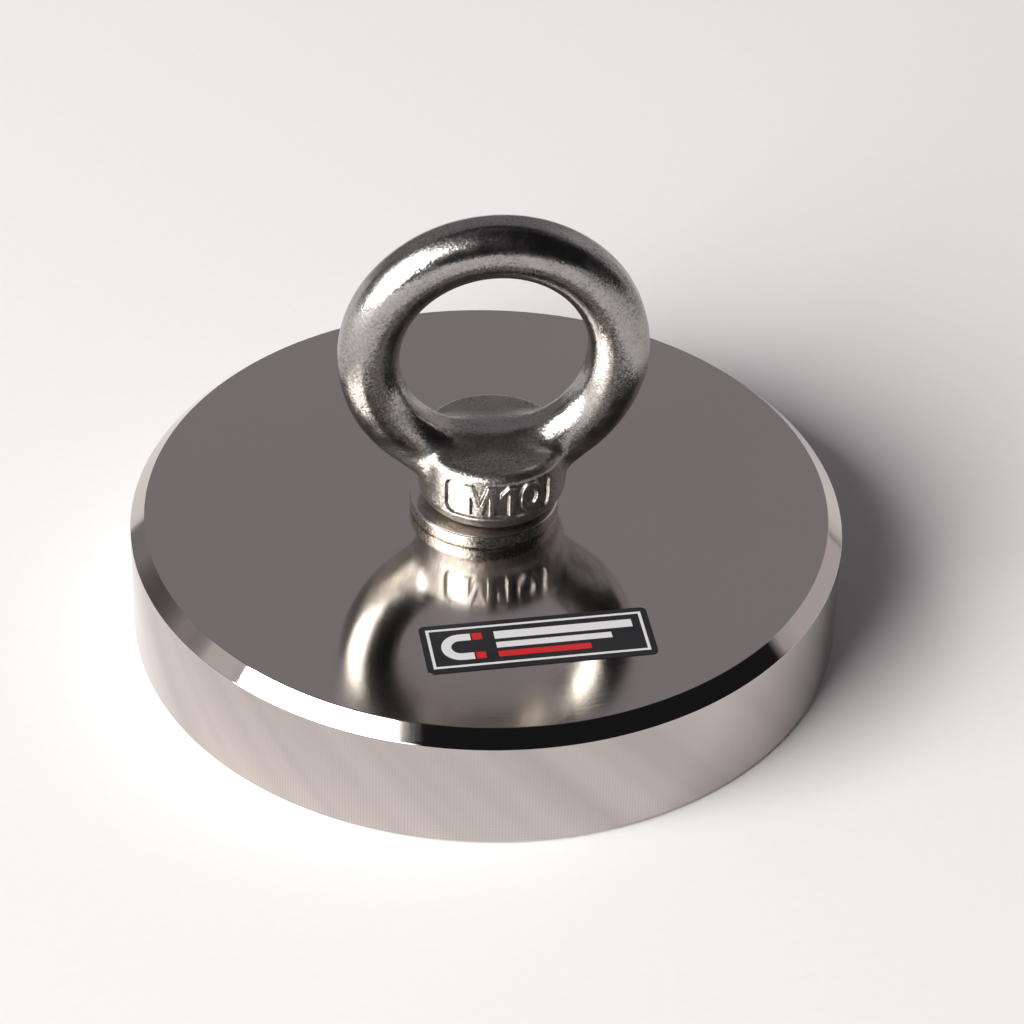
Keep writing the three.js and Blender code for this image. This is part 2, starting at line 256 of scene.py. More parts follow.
def mark_distance(s, h):
    """Signed distance to the thread size's figures, laid flat: s along the neck, h up it."""
    wide = MARK_M + MARK_1 + MARK_0 + 2 * MARK_GAP
    s = s + wide / 2
    one = MARK_M + MARK_GAP
    zero = one + MARK_1 + MARK_GAP + MARK_0 / 2
    far = np.hypot((s - zero) / (MARK_0 / 2), (h - MARK_H / 2) / (MARK_H / 2))
    ring = np.abs((far - 0.79) * (MARK_0 / 2 + MARK_H / 2) / 2) - STROKE / 2
    return np.minimum(np.minimum(polygon_distance(s, h, M_SHAPE),
                                 polygon_distance(s - one, h, ONE_SHAPE)), ring)


def past_corner(a, b):
    """How far past a rounded corner a point is, from how far it is past each side."""
    return np.hypot(np.maximum(a, 0), np.maximum(b, 0)) + np.minimum(np.maximum(a, b), 0)


def eye_field(p):
    """Negative inside the forging. p is in millimetres from the middle of the collar's foot."""
    x, y, z = p[:, 0], p[:, 1], p[:, 2]
    up = z - (EYE_Z - SEAT)
    rho = np.hypot(x, up)
    low = np.abs(np.arctan2(x, -up))
    swell = RING_SWELL * (1 - ramp(low, math.radians(26), math.radians(40)))
    u = rho - EYE_R
    grown = 1 + swell
    u = np.where(u > 0, u / grown, u)
    w = y / grown
    tube = (np.hypot(u / (WIRE / 2 + 0.15), w / 3.95) - 1) * 4.0
    tube = smooth_max(tube, np.abs(u) - WIRE / 2, 0.12)
    # the neck, with a well rounded foot, its rim rounded over and its top slightly crowned
    radial = np.hypot(x, y)
    angle = np.arctan2(x, -y)
    skin = NECK_R * np.ones_like(x)
    near = (np.abs(angle) < PANEL_HALF + 0.3) & (z > PANEL_LOW - 1) & (z < PANEL_HIGH + 1)
    if near.any():
        a, h = angle[near], z[near]
        half_h = (PANEL_HIGH - PANEL_LOW) / 2
        across = np.abs(a) * NECK_R - (PANEL_HALF * NECK_R - PANEL_CORNER)
        along = np.abs(h - (PANEL_LOW + half_h)) - (half_h - PANEL_CORNER)
        panel = past_corner(across, along) - PANEL_CORNER
        foot = PANEL_LOW + half_h - MARK_H / 2
        mark = mark_distance((a - MARK_SHIFT) * NECK_R, h - foot)
        skin[near] -= PANEL_DEEP * ramp(-panel, -0.1, 0.16)
        skin[near] += MARK_RELIEF * ramp(-mark, -0.13, 0.12)
    top = NECK_H + NECK_CROWN * (1 - (radial / NECK_R) ** 2)
    upper = past_corner((radial - skin + RIM_IN) / RIM_IN, (z - top + RIM_DOWN) / RIM_DOWN) - 1
    lower = past_corner((radial - skin + FOOT_IN) / FOOT_IN, (FOOT_UP - z) / FOOT_UP) - 1
    upper, lower = upper * RIM_DOWN, lower * FOOT_UP
    # the blend into the ring tightens towards the legs
    fillet = FILLET - FILLET_LOSS * ramp(np.abs(x), 4, 9)
    return smooth_min(tube, np.maximum(upper, lower), fillet)


def surface_net(field, xs, ys, zs):
    """Vertices and quads on a field's zero surface, from its values on a grid of uneven steps."""
    nx, ny, nz = len(xs), len(ys), len(zs)
    gx, gy, gz = np.meshgrid(xs, ys, zs, indexing="ij")
    points = np.stack([gx.ravel(), gy.ravel(), gz.ravel()], 1)
    values = np.concatenate([field(points[i:i + 400000]) for i in range(0, len(points), 400000)])
    values = values.reshape(nx, ny, nz)
    inside = values < 0
    corners = [(i, j, k) for i in (0, 1) for j in (0, 1) for k in (0, 1)]
    cut = lambda a, c: a[c[0]:nx - 1 + c[0], c[1]:ny - 1 + c[1], c[2]:nz - 1 + c[2]]
    count = sum(cut(inside, c).astype(np.int8) for c in corners)
    active = np.argwhere((count > 0) & (count < 8))
    number = np.full((nx - 1, ny - 1, nz - 1), -1, np.int64)
    number[tuple(active.T)] = np.arange(len(active))
    total, hits = np.zeros((len(active), 3)), np.zeros(len(active))
    for a in corners:
        for b in corners:
            if sum(b) != sum(a) + 1 or sum(abs(p - q) for p, q in zip(a, b)) != 1:
                continue
            ia, ib = active + a, active + b
            fa, fb = values[tuple(ia.T)], values[tuple(ib.T)]
            crossed = (fa < 0) != (fb < 0)
            t = np.where(crossed, fa / np.where(crossed, fa - fb, 1), 0)[:, None]
            pa = np.stack([xs[ia[:, 0]], ys[ia[:, 1]], zs[ia[:, 2]]], 1)
            pb = np.stack([xs[ib[:, 0]], ys[ib[:, 1]], zs[ib[:, 2]]], 1)
            total += np.where(crossed[:, None], pa + t * (pb - pa), 0)
            hits += crossed
    vertices = total / hits[:, None]
    quads = []
    for axis in range(3):
        others = [a for a in range(3) if a != axis]
        step = [slice(None)] * 3
        step[axis] = slice(0, -1)
        ahead = [slice(None)] * 3
        ahead[axis] = slice(1, None)
        here = np.argwhere(inside[tuple(step)] != inside[tuple(ahead)])
        here = here[(here[:, others[0]] > 0) & (here[:, others[1]] > 0)]
        around = []
        for d0, d1 in ((1, 1), (0, 1), (0, 0), (1, 0)):
            cell = here.copy()
            cell[:, others[0]] -= d0
            cell[:, others[1]] -= d1
            around.append(number[tuple(cell.T)])
        quad = np.stack(around, 1)
        starts_inside = inside[tuple(here.T)]
        flip = starts_inside if axis == 1 else ~starts_inside
        quad[flip] = quad[flip][:, ::-1]
        quads.append(quad)
    return vertices, np.concatenate(quads)


def settle(field, vertices, rounds=3, reach=0.12):
    """Moves vertices onto the zero surface along the field's slope."""
    h = 0.01
    for _ in range(rounds):
        value = field(vertices)
        slope = np.stack([
            (field(vertices + d) - field(vertices - d)) / (2 * h)
            for d in (np.eye(3) * h)
        ], 1)
        step = -(value / np.maximum((slope ** 2).sum(1), 0.2))[:, None] * slope
        size = np.linalg.norm(step, axis=1, keepdims=True)
        vertices = vertices + step * np.minimum(1, reach / np.maximum(size, 1e-9))
    return vertices


def steps_between(*stretches):
    """Grid lines: each stretch is (from, to, spacing)."""
    lines = [np.linspace(a, b, max(2, round((b - a) / s) + 1))[:-1] for a, b, s in stretches]
    return np.append(np.concatenate(lines), stretches[-1][1])


def make_eyebolt():
    coarse, middling, fine = 0.34, 0.22, 0.135
    xs = steps_between((-21.3, -10.9, coarse), (-10.9, -8.6, middling), (-8.6, 8.6, fine),
                       (8.6, 10.9, middling), (10.9, 21.3, coarse))
    ys = steps_between((-10.6, -5.2, fine), (-5.2, 10.6, coarse))
    zs = steps_between((-0.6, 2.4, coarse), (2.4, 9.2, fine), (9.2, 11.0, middling),
                       (11.0, 44.4, coarse))
    vertices, quads = surface_net(eye_field, xs, ys, zs)
    vertices = settle(eye_field, vertices)
    vertices = (vertices + [EYE_X, 0, SEAT]) * MM
    forging = outwards(add_mesh("eyebolt_forging", vertices, quads))
    relief = SEAT - 1.5
    shank = screw("eyebolt_shank", SHANK_ROOT, SHANK_CREST, SHANK_TIP, SEAT)
    envelope = lathe("envelope", [
        (0, SHANK_TIP, 0), (3.8, SHANK_TIP, 0.2), (5.05, SHANK_TIP + 1.2, 0), (5.05, relief - 0.8, 0),
        (4.1, relief, 0.3), (4.1, SEAT + 1, 0), (0, SEAT + 1, 0)], 96)
    combine(shank, envelope, "INTERSECT")
    combine(forging, shank, "UNION")
    forging.data.set_sharp_from_angle(angle=math.radians(40))
    return forging


# ---- the cup and its insides ----
CHAMFER, FOOT_BEVEL = 2.0, 0.5
COUNTERSINK_R, COUNTERSINK_DEEP = 5.6, 2.41


def make_cup():
    crisp = 0.12
    cup = lathe("cup", [
        (0, 0, 0), (POLE_R, 0, crisp), (POLE_R, CAVITY_TOP, 0), (CAVITY_OUT, CAVITY_TOP, 0),
        (CAVITY_OUT, 0, crisp), (CUP_R - FOOT_BEVEL, 0, 0.1), (CUP_R, FOOT_BEVEL, 0.15),
        (CUP_R, CUP_TOP - CHAMFER, crisp), (CUP_R - CHAMFER, CUP_TOP, crisp), (0, CUP_TOP, 0)], 288)
    combine(cup, screw("tap", TAP_ROOT, TAP_CREST, 0, CUP_TOP), "DIFFERENCE")
    for face, inwards in ((0, 1), (CUP_TOP, -1)):
        combine(cup, lathe("countersink", [
            (0, face - inwards, 0), (COUNTERSINK_R + 1, face - inwards, 0),
            (COUNTERSINK_R - COUNTERSINK_DEEP, face + inwards * COUNTERSINK_DEEP, 0),
            (0, face + inwards * COUNTERSINK_DEEP, 0)], 96), "DIFFERENCE")
    cup.data.set_sharp_from_angle(angle=math.radians(25))
    return cup


WASHER_HOLE_R = 5.25


def make_washer():
    return lathe("washer", [
        (WASHER_HOLE_R, CUP_TOP, 0.08), (WASHER_R, CUP_TOP, 0.38),
        (WASHER_R, SEAT, 0.32), (WASHER_HOLE_R, SEAT, 0.2)],
        180, closed=True, centre=(WASHER_X, 0))


def make_magnet():
    low, high = MAGNET_LOW.z, MAGNET_HIGH.z
    return lathe("magnet_ring", [
        (MAGNET_IN, low + 0.4, 0.1), (MAGNET_IN + 0.4, low, 0.25), (MAGNET_OUT - 0.4, low, 0.25),
        (MAGNET_OUT, low + 0.4, 0.1), (MAGNET_OUT, high, 0), (MAGNET_IN, high, 0)], 240, closed=True)


def make_potting(name, inner, outer, steps):
    """Cast resin whose free surface is drawn up a little at both walls."""
    low = POTTING_LOW.z
    sag = 0.16
    cells = 8
    free = [
        (inner + (outer - inner) * i / cells, low + sag * (1 - (2 * i / cells - 1) ** 2), 0)
        for i in range(cells + 1)
    ]
    return lathe(name, free + [(outer, CAVITY_TOP, 0), (inner, CAVITY_TOP, 0)], steps, closed=True,
                 flat_angle=50)


# ---- the sticker ----
LABEL_AT = Vector(((LABEL_LOW.x + LABEL_HIGH.x) / 2, (LABEL_LOW.y + LABEL_HIGH.y) / 2))
LABEL_TURN = math.radians(3)
LABEL_L, LABEL_W = 30.0, 9.5


def plate(name, outlines, low, high):
    """Flat plates on the sticker: each outline is a list of corners in the sticker's own plane."""
    c, s = math.cos(LABEL_TURN), math.sin(LABEL_TURN)
    bm = bmesh.new()
    for outline in outlines:
        placed = [((LABEL_AT.x + x * c - y * s) * MM, (LABEL_AT.y + x * s + y * c) * MM)
                  for x, y in outline]
        lower = [bm.verts.new((x, y, low * MM)) for x, y in placed]
        upper = [bm.verts.new((x, y, high * MM)) for x, y in placed]
        bm.faces.new(lower[::-1])
        bm.faces.new(upper)
        for i in range(len(placed)):
            j = (i + 1) % len(placed)
            bm.faces.new((lower[i], lower[j], upper[j], upper[i]))
    mesh = bpy.data.meshes.new(name)
    bm.to_mesh(mesh)
    bm.free()
    obj = bpy.data.objects.new(name, mesh)
    scene.collection.objects.link(obj)
    return outwards(obj)


def rectangle(x0, y0, x1, y1):
    return [(x0, y0), (x1, y0), (x1, y1), (x0, y1)]


def corner_rounded(x, y, r, steps=6):
    outline = []
    centres = ((x - r, y - r, 0), (r - x, y - r, 90), (r - x, r - y, 180), (x - r, r - y, 270))
    for cx, cy, start in centres:
        for i in range(steps + 1):
            t = math.radians(start + 90 * i / steps)
            outline.append((cx + r * math.cos(t), cy + r * math.sin(t)))
    return outline


def arc_band(cx, cy, inner, outer, start, end, steps=14):
    """A band round part of a circle, as quads."""
    at = lambda r, t: (cx + r * math.cos(t), cy + r * math.sin(t))
    turns = [math.radians(start + (end - start) * i / steps) for i in range(steps + 1)]
    return [[at(inner, a), at(outer, a), at(outer, b), at(inner, b)] for a, b in zip(turns, turns[1:])]


def make_label():
    x, y = LABEL_L / 2, LABEL_W / 2
    film_top = LABEL_HIGH.z
    film = plate("label_film", [corner_rounded(x, y, 0.8)], CUP_TOP, film_top - 0.02)
    line, inset = 0.38, 0.85
    fx, fy = x - inset, y - inset
    frame_line = [
        rectangle(-fx, -fy, fx, -fy + line), rectangle(-fx, fy - line, fx, fy),
        rectangle(-fx, -fy + line, -fx + line, fy - line),
        rectangle(fx - line, -fy + line, fx, fy - line),
    ]
    # a horseshoe magnet with its ends to the right, then three plain bars
    cx = -fx + 4.1
    shoe = arc_band(cx, 0, 1.25, 2.55, 90, 270)
    shoe += [rectangle(cx, 1.25, cx + 1.5, 2.55), rectangle(cx, -2.55, cx + 1.5, -1.25)]
    tips = [rectangle(cx + 1.75, 1.25, cx + 3.0, 2.55), rectangle(cx + 1.75, -2.55, cx + 3.0, -1.25)]
    left = cx + 4.6
    bars = [rectangle(left, 1.05, fx - 1.5, 2.55), rectangle(left, -0.75, fx - 4.5, 0.35)]
    accent = [rectangle(left, -2.55, fx - 7.5, -1.45)]
    white = plate("label_white", frame_line + shoe + bars, film_top - 0.02, film_top)
    red = plate("label_red", tips + accent, film_top - 0.02, film_top)
    return film, white, red


# ---- materials ----
def material(name):
    m = bpy.data.materials.new(name)
    m.use_nodes = True
    nodes, links = m.node_tree.nodes, m.node_tree.links
    return m, nodes, links, nodes["Principled BSDF"]


def mix_colour(nodes, links, factor, a, b):
    n = nodes.new("ShaderNodeMix")
    n.data_type = "RGBA"
    for socket, value in ((n.inputs[0], factor), (n.inputs[6], a), (n.inputs[7], b)):
        if isinstance(value, bpy.types.NodeSocket):
            links.new(value, socket)
        elif isinstance(value, (tuple, list)):
            socket.default_value = (*value, 1)
        else:
            socket.default_value = value
    return n.outputs[2]


def blend(nodes, links, factor, a, b):
    """One number fading into another."""
    n = nodes.new("ShaderNodeMix")
    for socket, value in zip((n.inputs[0], n.inputs[2], n.inputs[3]), (factor, a, b)):
        if isinstance(value, bpy.types.NodeSocket):
            links.new(value, socket)
        else:
            socket.default_value = value
    return n.outputs[0]


def math_node(nodes, links, operation, a, b=None):
    n = nodes.new("ShaderNodeMath")
    n.operation = operation
    for socket, value in zip(n.inputs, (a, b)):
        if isinstance(value, bpy.types.NodeSocket):
            links.new(value, socket)
        elif value is not None:
            socket.default_value = value
    return n.outputs[0]


def map_range(nodes, links, value, a, b, c, d):
    n = nodes.new("ShaderNodeMapRange")
    links.new(value, n.inputs["Value"])
    for key, v in zip(("From Min", "From Max", "To Min", "To Max"), (a, b, c, d)):
        n.inputs[key].default_value = v
    return n.outputs["Result"]


def noise(nodes, links, vector, scale, detail=2.0, roughness=0.5, dimensions="3D"):
    n = nodes.new("ShaderNodeTexNoise")
    n.noise_dimensions = dimensions
    if dimensions == "1D":
        links.new(vector, n.inputs["W"])
    else:
        links.new(vector, n.inputs["Vector"])
    n.inputs["Scale"].default_value = scale
    n.inputs["Detail"].default_value = detail
    n.inputs["Roughness"].default_value = roughness
    return n.outputs[0]


def cylinder_coordinates(nodes, links):
    """Distance from the Z axis, angle round it and height, from the piece's own coordinates."""
    position = nodes.new("ShaderNodeTexCoord").outputs["Object"]
    parts = nodes.new("ShaderNodeSeparateXYZ")
    links.new(position, parts.inputs[0])
    x, y, z = parts.outputs
    squares = math_node(nodes, links, "ADD", math_node(nodes, links, "MULTIPLY", x, x),
                        math_node(nodes, links, "MULTIPLY", y, y))
    radius = math_node(nodes, links, "SQRT", squares)
    return position, radius, math_node(nodes, links, "ARCTAN2", y, x), z


def bump(nodes, links, shader, height, strength, distance):
    n = nodes.new("ShaderNodeBump")
    n.inputs["Strength"].default_value = strength
    n.inputs["Distance"].default_value = distance
    links.new(height, n.inputs["Height"])
    links.new(n.outputs[0], shader.inputs["Normal"])
    return n


def tilted_facets(nodes, links, position, scale, tilt):
    """The surface normal broken into tiny facets that each lean their own way."""
    cells = nodes.new("ShaderNodeTexVoronoi")
    cells.inputs["Scale"].default_value = scale
    links.new(position, cells.inputs["Vector"])

    def vector_math(operation, first, second=None, amount=None):
        n = nodes.new("ShaderNodeVectorMath")
        n.operation = operation
        links.new(first, n.inputs[0])
        if isinstance(second, tuple):
            n.inputs[1].default_value = second
        elif second is not None:
            links.new(second, n.inputs[1])
        if amount is not None:
            links.new(amount, n.inputs["Scale"])
        return n.outputs[0]

    lean = vector_math("SUBTRACT", cells.outputs["Color"], (0.5, 0.5, 0.5))
    lean = vector_math("SCALE", lean, amount=tilt)
    normal = nodes.new("ShaderNodeNewGeometry").outputs["Normal"]
    return vector_math("NORMALIZE", vector_math("ADD", lean, normal))


WALL_STROKES = 720
WALL_FEED = 0.00045
WALL_SLANT = 0.055


def turned_nickel():
    """Bright nickel plate over very fine lathe marks, with a few specks of dust."""
    m, nodes, links, shader = material("bright_nickel_plate")
    position, radius, angle, z = cylinder_coordinates(nodes, links)
    cloud = noise(nodes, links, position, 22, 3)
    tone = mix_colour(nodes, links, cloud, (0.615, 0.575, 0.53), (0.655, 0.615, 0.57))
    facing = nodes.new("ShaderNodeSeparateXYZ")
    links.new(nodes.new("ShaderNodeTexCoord").outputs["Normal"], facing.inputs[0])
    upright = math_node(nodes, links, "ABSOLUTE", facing.outputs[2])
    wall = map_range(nodes, links, upright, 0.05, 0.2, 1, 0)
    # the side is chattered: regular upright strokes crossed by a fine feed, strongest low down
    strokes = math_node(nodes, links, "SINE", math_node(nodes, links, "MULTIPLY", angle, WALL_STROKES))
    along_feed = math_node(nodes, links, "MULTIPLY", z, 2 * math.pi / WALL_FEED)
    feed = math_node(nodes, links, "SINE", along_feed)
    fading = map_range(nodes, links, z, 0.0, CUP_TOP * MM, 1.0, 0.3)
    at_foot = map_range(nodes, links, z, 0.001, 0.006, 1.0, 0.0)
    chatter = math_node(nodes, links, "ADD", math_node(nodes, links, "MULTIPLY", strokes, fading),
                        math_node(nodes, links, "MULTIPLY", feed, at_foot))
    ground = mix_colour(nodes, links, map_range(nodes, links, chatter, -2, 2, 0, 1),
                        (0.47, 0.425, 0.405), (0.62, 0.562, 0.535))
    # and painted shade darkens it in soft slanted bands, spread at random round the side
    slant = math_node(nodes, links, "ADD", math_node(nodes, links, "MULTIPLY", angle, WALL_SLANT), z)
    painted_shade_bands = map_range(nodes, links, noise(nodes, links, slant, 65, 2, 0.5, "1D"), 0.35, 0.65, 0, 0.45)
    ground = mix_colour(nodes, links, painted_shade_bands, ground, (0.33, 0.305, 0.30))
    tone = mix_colour(nodes, links, wall, tone, ground)
    grains = nodes.new("ShaderNodeTexVoronoi")
    grains.inputs["Scale"].default_value = 170
    links.new(position, grains.inputs["Vector"])
    speck = map_range(nodes, links, grains.outputs["Distance"], 0.022, 0.034, 1, 0)
    chosen = math_node(nodes, links, "GREATER_THAN", noise(nodes, links, position, 260, 0), 0.70)
    dust = math_node(nodes, links, "MULTIPLY", speck, chosen)
    links.new(mix_colour(nodes, links, dust, tone, (0.78, 0.76, 0.74)), shader.inputs["Base Color"])
    links.new(math_node(nodes, links, "SUBTRACT", 1.0, dust), shader.inputs["Metallic"])
    # the top is turned, while the side and the chamfer are ground almost to a mirror
    rings = noise(nodes, links, radius, 2600, 3, 0.6, "1D")
    turned = map_range(nodes, links, rings, 0.3, 0.7, 0.07, 0.11)
    flat = map_range(nodes, links, upright, 0.8, 0.95, 0, 1)
    rough = blend(nodes, links, flat, blend(nodes, links, wall, 0.05, 0.12), turned)
    links.new(math_node(nodes, links, "ADD", rough, math_node(nodes, links, "MULTIPLY", dust, 0.5)),
              shader.inputs["Roughness"])
    bump(nodes, links, shader, math_node(nodes, links, "MULTIPLY", chatter, wall), 0.5, 0.000004)
    shader.inputs["Anisotropic"].default_value = 0.9
    shader.inputs["Anisotropic Rotation"].default_value = 0.25
    tangent = nodes.new("ShaderNodeTangent")
    tangent.direction_type = "RADIAL"
    tangent.axis = "Z"
    links.new(tangent.outputs[0], shader.inputs["Tangent"])
    return m


NECK_FADE = 2.5
FACETS = 6800


def forged_steel():
    """Tumbled forging: bright, with a fine orange-peel skin that sparkles."""
    m, nodes, links, shader = material("forged_bright_steel")
    position = nodes.new("ShaderNodeTexCoord").outputs["Object"]
    grain = noise(nodes, links, position, 2900, 2, 0.6)
    patches = noise(nodes, links, position, 240, 2)
    coarse = map_range(nodes, links, patches, 0.38, 0.62, 0.35, 1.0)
    pitted = map_range(nodes, links, grain, 0.36, 0.6, 1, 0)
    speckle = math_node(nodes, links, "MULTIPLY", pitted, coarse)
    links.new(mix_colour(nodes, links, speckle, (0.41, 0.39, 0.37), (0.21, 0.20, 0.19)),
              shader.inputs["Base Color"])
    shader.inputs["Metallic"].default_value = 1
    # the ring is worn smooth, while the neck keeps the rough skin it was forged with
    height = nodes.new("ShaderNodeSeparateXYZ")
    links.new(position, height.inputs[0])
    rim = SEAT + NECK_H
    neck = map_range(nodes, links, height.outputs[2], rim * MM, (rim + NECK_FADE) * MM, 1, 0)
    smooth = map_range(nodes, links, coarse, 0.35, 1.0, 0.17, 0.27)
    links.new(blend(nodes, links, neck, smooth, 0.33), shader.inputs["Roughness"])
    skin = bump(nodes, links, shader, math_node(nodes, links, "MULTIPLY", grain, coarse), 0.4, 0.00006)
    tilt = blend(nodes, links, neck, 0.10, 0.22)
    links.new(tilted_facets(nodes, links, position, FACETS, tilt), skin.inputs["Normal"])
    return m


def washer_steel():
    """Plated washer: smooth on its flats, with the punched rim left grainy by tumbling."""
    m, nodes, links, shader = material("washer_steel")
    position = nodes.new("ShaderNodeTexCoord").outputs["Object"]
    cloud = noise(nodes, links, position, 120, 2)
    flats = mix_colour(nodes, links, cloud, (0.60, 0.56, 0.51), (0.68, 0.64, 0.60))
    shader.inputs["Metallic"].default_value = 1
    facing = nodes.new("ShaderNodeSeparateXYZ")
    links.new(nodes.new("ShaderNodeTexCoord").outputs["Normal"], facing.inputs[0])
    rim = map_range(nodes, links, math_node(nodes, links, "ABSOLUTE", facing.outputs[2]), 0.3, 0.9, 1, 0)
    grain = noise(nodes, links, position, 2600, 3, 0.6)
    punched = mix_colour(nodes, links, map_range(nodes, links, grain, 0.35, 0.65, 0, 1),
                         (0.27, 0.25, 0.225), (0.44, 0.41, 0.37))
    links.new(mix_colour(nodes, links, rim, flats, punched), shader.inputs["Base Color"])
    fine = map_range(nodes, links, grain, 0.3, 0.7, 0.13, 0.17)
    coarse = map_range(nodes, links, grain, 0.3, 0.7, 0.2, 0.34)
    links.new(blend(nodes, links, rim, fine, coarse), shader.inputs["Roughness"])
    bump(nodes, links, shader, math_node(nodes, links, "MULTIPLY", grain, rim), 0.5, 0.0001)
    return m


def magnet_plate():
    m, nodes, links, shader = material("magnet_plate")
    position = nodes.new("ShaderNodeTexCoord").outputs["Object"]
    cloud = noise(nodes, links, position, 45, 4)
    links.new(mix_colour(nodes, links, cloud, (0.42, 0.41, 0.39), (0.66, 0.65, 0.63)),
              shader.inputs["Base Color"])
    shader.inputs["Metallic"].default_value = 1
    grain = noise(nodes, links, position, 1500, 3)
    links.new(map_range(nodes, links, grain, 0.3, 0.7, 0.24, 0.38), shader.inputs["Roughness"])
    bump(nodes, links, shader, grain, 0.15, 0.0001)
    return m


def potting_resin():
    m, nodes, links, shader = material("potting_resin")
    position = nodes.new("ShaderNodeTexCoord").outputs["Object"]
    cloud = noise(nodes, links, position, 90, 3)
    links.new(mix_colour(nodes, links, cloud, (0.018, 0.018, 0.02), (0.042, 0.041, 0.04)),
              shader.inputs["Base Color"])
    waves = noise(nodes, links, position, 420, 2)
    links.new(map_range(nodes, links, waves, 0.3, 0.7, 0.22, 0.4), shader.inputs["Roughness"])
    bump(nodes, links, shader, waves, 0.3, 0.0003)
    return m


def adhesive():
    m, nodes, links, shader = material("adhesive")
    position = nodes.new("ShaderNodeTexCoord").outputs["Object"]
    cloud = noise(nodes, links, position, 200, 3)
    links.new(mix_colour(nodes, links, cloud, (0.50, 0.44, 0.30), (0.62, 0.56, 0.42)),
              shader.inputs["Base Color"])
    shader.inputs["Roughness"].default_value = 0.45
    bump(nodes, links, shader, cloud, 0.2, 0.0002)
    return m


def print_ink(name, low, high):
    m, nodes, links, shader = material(name)
    position = nodes.new("ShaderNodeTexCoord").outputs["Object"]
    fibre = noise(nodes, links, position, 2600, 3)
    links.new(mix_colour(nodes, links, fibre, low, high), shader.inputs["Base Color"])
    links.new(map_range(nodes, links, fibre, 0.3, 0.7, 0.34, 0.5), shader.inputs["Roughness"])
    bump(nodes, links, shader, fibre, 0.1, 0.00004)
    return m


# ---- pieces ----
MATERIALS = {
    "nickel": turned_nickel(),
    "forged": forged_steel(),
    "washer": washer_steel(),
    "magnet": magnet_plate(),
    "resin": potting_resin(),
    "adhesive": adhesive(),
    "black": print_ink("label_black_ink", (0.006, 0.006, 0.009), (0.015, 0.015, 0.019)),
    "white": print_ink("label_white_ink", (0.62, 0.63, 0.63), (0.74, 0.74, 0.73)),
    "red": print_ink("label_red_ink", (0.50, 0.010, 0.012), (0.62, 0.020, 0.020)),
}


def place(obj, body, look, slot, *nodes):
    obj.data.materials.clear()
    obj.data.materials.append(MATERIALS[look])
    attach(obj, body)
    if nodes:
        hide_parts(*nodes)


place(make_cup(), "pot", "nickel", "bright_nickel_plate", "pot_housing")
place(make_magnet(), "pot", "magnet", "magnet_plate", "ring_magnet")
place(make_potting("potting_outer", MAGNET_OUT, CAVITY_OUT, 240), "pot", "resin", "potting_resin",
      "outer_potting_ring")
place(make_potting("potting_inner", POLE_R, MAGNET_IN, 160), "pot", "resin", "potting_resin",
      "inner_potting_ring")
place(make_washer(), "washer", "washer", "washer_steel", "flat_washer")
place(make_eyebolt(), "eye", "forged", "forged_bright_steel", "eyebolt")
film, white, red = make_label()
place(film, "pot", "black", "label_film", "label")
place(white, "pot", "white", "label_film")
place(red, "pot", "red", "label_film")
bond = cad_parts["magnet_bond_layer"]
bond.data.materials.clear()
bond.data.materials.append(MATERIALS["adhesive"])

# ---- floor, light and camera ----
VIEW_TURN = math.radians(-7.5)
VIEW_RISE = math.radians(37.66)
VIEW_ROLL = math.radians(1.5)
VIEW_FAR = 0.5117
LENS = 133.19


def from_camera(x, y, z=0.0):
    """A point given to the camera's right (x), away from it (y) and up (z), in the row frame."""
    return Matrix.Rotation(VIEW_TURN, 3, "Z") @ Vector((x, y, z))


def heading(side, rise):
    """The direction at this many degrees round from the camera's side, to its right, and this high."""
    a, e = math.radians(side), math.radians(rise)
    return from_camera(math.sin(a) * math.cos(e), -math.cos(a) * math.cos(e), math.sin(e))


FLOOR_R, FLOOR_GAP = 6, 0.00005


def make_floor():
    bm = bmesh.new()
    bmesh.ops.create_circle(bm, cap_ends=True, segments=96, radius=FLOOR_R)
    mesh = bpy.data.meshes.new("floor")
    bm.to_mesh(mesh)
    bm.free()
    floor = bpy.data.objects.new("floor", mesh)
    floor.location.z = -FLOOR_GAP
    scene.collection.objects.link(floor)
    m, nodes, links, shader = material("floor_paper")
    position = nodes.new("ShaderNodeTexCoord").outputs["Object"]
    fibre = noise(nodes, links, position, 700, 3)
    links.new(mix_colour(nodes, links, fibre, (0.86, 0.85, 0.85), (0.89, 0.88, 0.88)),
              shader.inputs["Base Color"])
    shader.inputs["Roughness"].default_value = 0.9
    mesh.materials.append(m)


def softbox(name, side, rise, distance, width, height, radiance, colour):
    light = bpy.data.lights.new(name, "AREA")
    light.shape = "RECTANGLE"
    light.size, light.size_y = width, height
    light.energy = radiance * math.pi * width * height
    light.color = colour
    obj = bpy.data.objects.new(name, light)
    towards = heading(side, rise)
    obj.location = towards * distance
    obj.rotation_euler = towards.to_track_quat("Z", "Y").to_euler()
    scene.collection.objects.link(obj)


# parts of the studio walls, as (side, rise, radius, softness) in degrees and colour
STUDIO_PATCHES = [
    (-90, 32, 8, 3, (0.62, 0.575, 0.585)),
    (-98, 28, 3, 2, (0.20, 0.18, 0.19)),
    (-117, 17, 9, 5, (0.11, 0.10, 0.105)),
    (128, 10, 28, 7, (0.53, 0.49, 0.52)),
]


# the unlit part of the room in front, from one side to the other in degrees
DARK_FROM, DARK_TO, DARK_SOFT = -42, 100.5, 1.5


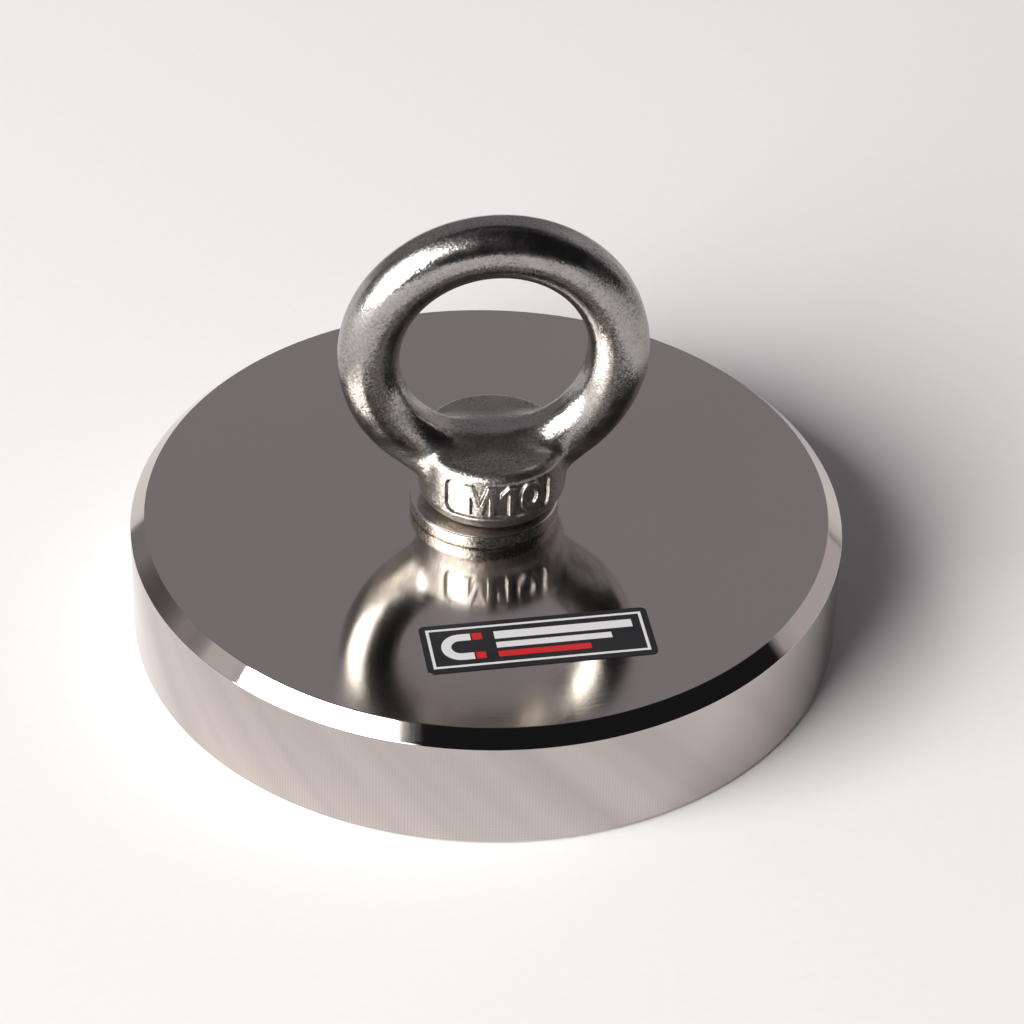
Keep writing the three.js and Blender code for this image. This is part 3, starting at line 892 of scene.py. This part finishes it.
def make_world():
    world = bpy.data.worlds.new("studio")
    scene.world = world
    world.use_nodes = True
    nodes, links = world.node_tree.nodes, world.node_tree.links
    nodes.clear()
    out = nodes.new("ShaderNodeOutputWorld")
    back = nodes.new("ShaderNodeBackground")
    links.new(back.outputs[0], out.inputs[0])
    direction = nodes.new("ShaderNodeTexCoord").outputs["Generated"]

    def along(vector):
        n = nodes.new("ShaderNodeVectorMath")
        n.operation = "DOT_PRODUCT"
        links.new(direction, n.inputs[0])
        n.inputs[1].default_value = vector
        return n.outputs["Value"]

    tone = nodes.new("ShaderNodeValToRGB")
    links.new(along((0, 0, 1)), tone.inputs[0])
    stops = tone.color_ramp.elements
    stops[0].position, stops[0].color = 0.0, (0.22, 0.21, 0.22, 1)
    stops[1].position, stops[1].color = 1.0, (0.13, 0.122, 0.128, 1)
    for position, colour in ((0.35, (0.30, 0.28, 0.295, 1)), (0.50, (0.275, 0.255, 0.275, 1)),
                             (0.72, (0.26, 0.24, 0.26, 1)), (0.86, (0.03, 0.028, 0.03, 1)),
                             (0.95, (0.035, 0.033, 0.035, 1))):
        stop = stops.new(position)
        stop.color = colour
    sky = tone.outputs[0]
    for side, rise, radius, soft, colour in STUDIO_PATCHES:
        edge = [math.cos(math.radians(radius + soft)), math.cos(math.radians(radius - soft))]
        patch = map_range(nodes, links, along(heading(side, rise)), *edge, 0, 1)
        sky = mix_colour(nodes, links, patch, sky, colour)
    soft = math.sin(math.radians(DARK_SOFT))
    walls = [
        map_range(nodes, links, along(heading(side, 0)), -soft, soft, 0, 1)
        for side in (DARK_FROM + 90, DARK_TO - 90)
    ]
    dark = math_node(nodes, links, "MULTIPLY", *walls)
    sky = mix_colour(nodes, links, dark, sky, (0.012, 0.012, 0.014))
    links.new(sky, back.inputs[0])


def make_camera():
    towards = heading(0, math.degrees(VIEW_RISE))
    target = from_camera(3.41 * MM, 0, 16.77 * MM)
    right = (-towards).cross(Vector((0, 0, 1))).normalized()
    up = right.cross(-towards)
    c, s = math.cos(VIEW_ROLL), math.sin(VIEW_ROLL)
    axes = Matrix((right * c + up * s, up * c - right * s, towards)).transposed()
    data = bpy.data.cameras.new("camera")
    data.lens, data.sensor_width = LENS, 36
    data.clip_start, data.clip_end = 0.01, 20
    camera = bpy.data.objects.new("camera", data)
    camera.matrix_world = Matrix.Translation(target + towards * VIEW_FAR) @ axes.to_4x4()
    scene.collection.objects.link(camera)
    scene.camera = camera


make_floor()
make_world()
softbox("main_softbox", -51.5, 27.2, 2.2, 1.95, 1.71, 10.8, (1.0, 0.985, 0.97))
make_camera()
scene.view_settings.view_transform = "Standard"
scene.cycles.use_denoising = True
